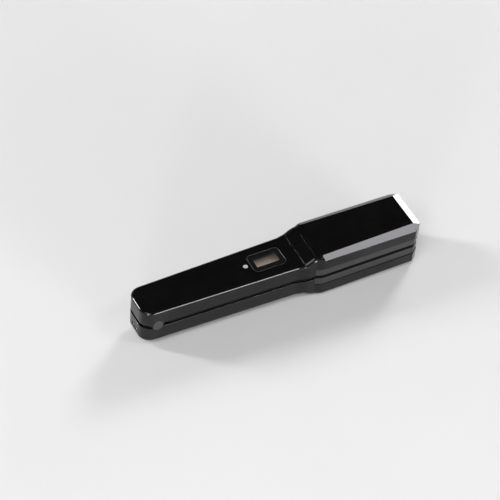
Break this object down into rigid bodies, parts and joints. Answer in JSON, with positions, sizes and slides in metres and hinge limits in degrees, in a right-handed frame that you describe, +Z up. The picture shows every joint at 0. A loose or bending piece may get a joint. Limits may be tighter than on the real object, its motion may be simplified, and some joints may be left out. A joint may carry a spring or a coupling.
{
  "type": "hair straightener",
  "caption": "Cordless flat iron: two arms hinged at the rear, floating heated plates in a wide bevelled head, small display on the upper arm.",
  "frame": {"origin": "under the middle of the closed iron, on the surface that the head rests on", "axes": "+X along the iron towards the tip, +Y across it, +Z up through the side with the display"},
  "size_m": [0.23, 0.0428, 0.04],
  "materials": {
    "gloss_black": "gloss",
    "satin_black": "satin",
    "carrier_black": "matte",
    "button_black": "matte",
    "bezel_grey": "satin",
    "window_grey": "clear tinted",
    "lcd_grey": "satin",
    "lens_white": "frosted",
    "board_green": "solder mask",
    "switch_dark": "moulded",
    "foil_grey": "foil",
    "wire_red": "silicone",
    "wire_blue": "silicone",
    "steel": "plated",
    "bracket_steel": "cast",
    "spring_steel": "drawn wire",
    "bush_bronze": "sintered",
    "plate_dark": "satin",
    "ceramic_white": "fired",
    "clamp_alu": "pressed",
    "fuse_gold": "plated"
  },
  "bodies": {
    "lower_arm": {"lower_handle_shell": "gloss_black", "lower_inner_cover": "satin_black", "lower_neck_collar": "gloss_black", "lower_head_cover": "gloss_black", "lower_plate_carrier": "carrier_black", "lower_battery_cell": "foil_grey", "lower_lead_wires": "wire_red", "lower_shell_screws": "steel", "lower_head_screws": "steel", "lower_hinge_bracket": "bracket_steel", "hinge_pin": "steel", "hinge_caps": "satin_black", "opening_spring": "spring_steel", "hinge_wires": "wire_blue", "charge_board": "board_green", "charge_socket": "steel", "power_board": "board_green", "lower_plate_springs": "spring_steel"},
    "upper_arm": {"upper_handle_shell": "gloss_black", "upper_inner_cover": "satin_black", "upper_neck_collar": "gloss_black", "upper_head_cover": "gloss_black", "upper_plate_carrier": "carrier_black", "display_bezel": "bezel_grey", "display_window": "window_grey", "lcd_module": "lcd_grey", "led_lens": "lens_white", "display_board": "board_green", "tact_switches": "switch_dark", "upper_battery_cell": "foil_grey", "upper_lead_wires": "wire_red", "upper_shell_screws": "steel", "upper_head_screws": "steel", "upper_hinge_bracket": "bracket_steel", "hinge_bushes": "bush_bronze", "upper_plate_springs": "spring_steel"},
    "upper_plate_unit": {"upper_plate": "plate_dark", "upper_heater": "ceramic_white", "upper_heater_clamp": "clamp_alu", "upper_thermal_fuse": "fuse_gold"},
    "lower_plate_unit": {"lower_plate": "plate_dark", "lower_heater": "ceramic_white", "lower_heater_clamp": "clamp_alu", "lower_thermal_fuse": "fuse_gold"},
    "power_key": {"power_button": "button_black"},
    "plus_key": {"plus_button": "button_black"},
    "minus_key": {"minus_button": "button_black"},
    "lock": {"lock_slider": "button_black"}
  },
  "joints": [
    {"name": "arm_hinge", "type": "hinge", "parent": "lower_arm", "child": "upper_arm", "pos_m": [-0.103, 0, 0.02], "axis": [0, -1, 0], "range_deg": [0, 12], "stiffness_Nm_per_rad": 0.5, "springref_deg": 17.19, "deforming": ["opening_spring", "hinge_wires"]},
    {"name": "upper_plate_float", "type": "slide", "parent": "upper_arm", "child": "upper_plate_unit", "axis": [0, 0, 1], "range_m": [0, 0.001], "stiffness_N_per_m": 6000, "springref_m": -0.0005, "deforming": ["upper_plate_springs"]},
    {"name": "lower_plate_float", "type": "slide", "parent": "lower_arm", "child": "lower_plate_unit", "axis": [0, 0, -1], "range_m": [0, 0.001], "stiffness_N_per_m": 6000, "springref_m": -0.0005, "deforming": ["lower_plate_springs"]},
    {"name": "power_press", "type": "slide", "parent": "upper_arm", "child": "power_key", "axis": [0, 0, 1], "range_m": [0, 0.0005], "stiffness_N_per_m": 1500, "springref_m": -0.0003},
    {"name": "plus_press", "type": "slide", "parent": "upper_arm", "child": "plus_key", "axis": [0, 0, 1], "range_m": [0, 0.0005], "stiffness_N_per_m": 1500, "springref_m": -0.0003},
    {"name": "minus_press", "type": "slide", "parent": "upper_arm", "child": "minus_key", "axis": [0, 0, 1], "range_m": [0, 0.0005], "stiffness_N_per_m": 1500, "springref_m": -0.0003},
    {"name": "lock_slide", "type": "slide", "parent": "lower_arm", "child": "lock", "axis": [1, 0, 0], "range_m": [0, 0.004]}
  ]
}
